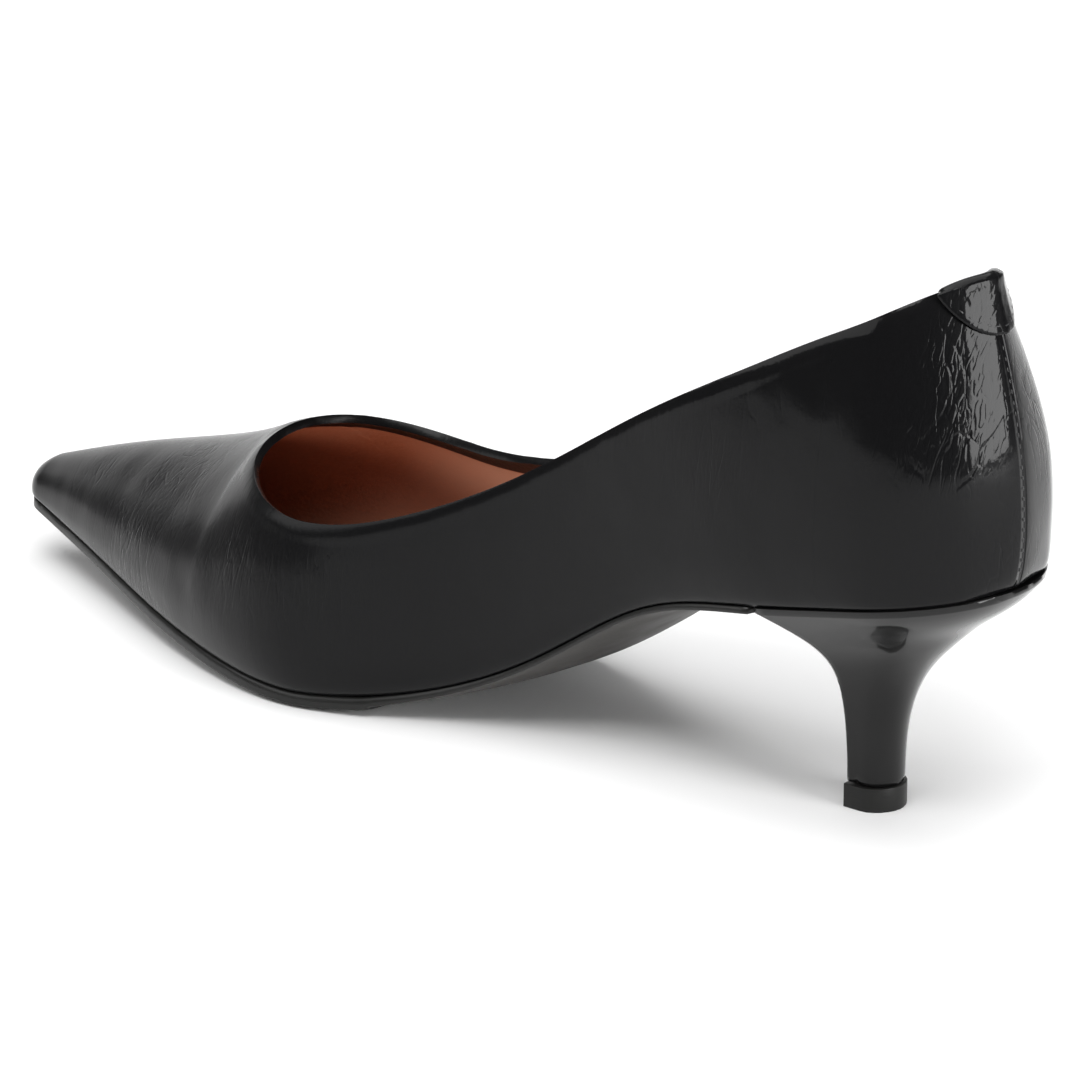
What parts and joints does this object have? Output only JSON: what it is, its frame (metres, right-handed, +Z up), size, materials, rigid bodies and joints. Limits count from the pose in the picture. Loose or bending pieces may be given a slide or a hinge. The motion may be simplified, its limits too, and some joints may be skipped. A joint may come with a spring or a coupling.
{
  "type": "court shoe",
  "caption": "Pointed slip-on court shoe with a low curved heel, a thin sprung sole and a hollow lasted upper.",
  "frame": {"origin": "on the floor, in the middle of the heel's top piece", "axes": "+Y from the heel to the toe, +Z up, -X to the inner side of the foot"},
  "size_m": [0.0763, 0.2645, 0.1152],
  "materials": {
    "upper": "black patent-like synthetic leather, glossy and finely crinkled",
    "insole": "tan synthetic leather sock, satin",
    "outsole": "black resin sole with a painted edge, satin",
    "heel": "black moulded heel, polished",
    "top_piece": "black hard plastic, satin gloss"
  },
  "bodies": {
    "root": {"upper": "upper", "back_tab": "upper", "insole": "insole", "outsole": "outsole", "heel": "heel", "top_piece": "top_piece"}
  },
  "joints": []
}
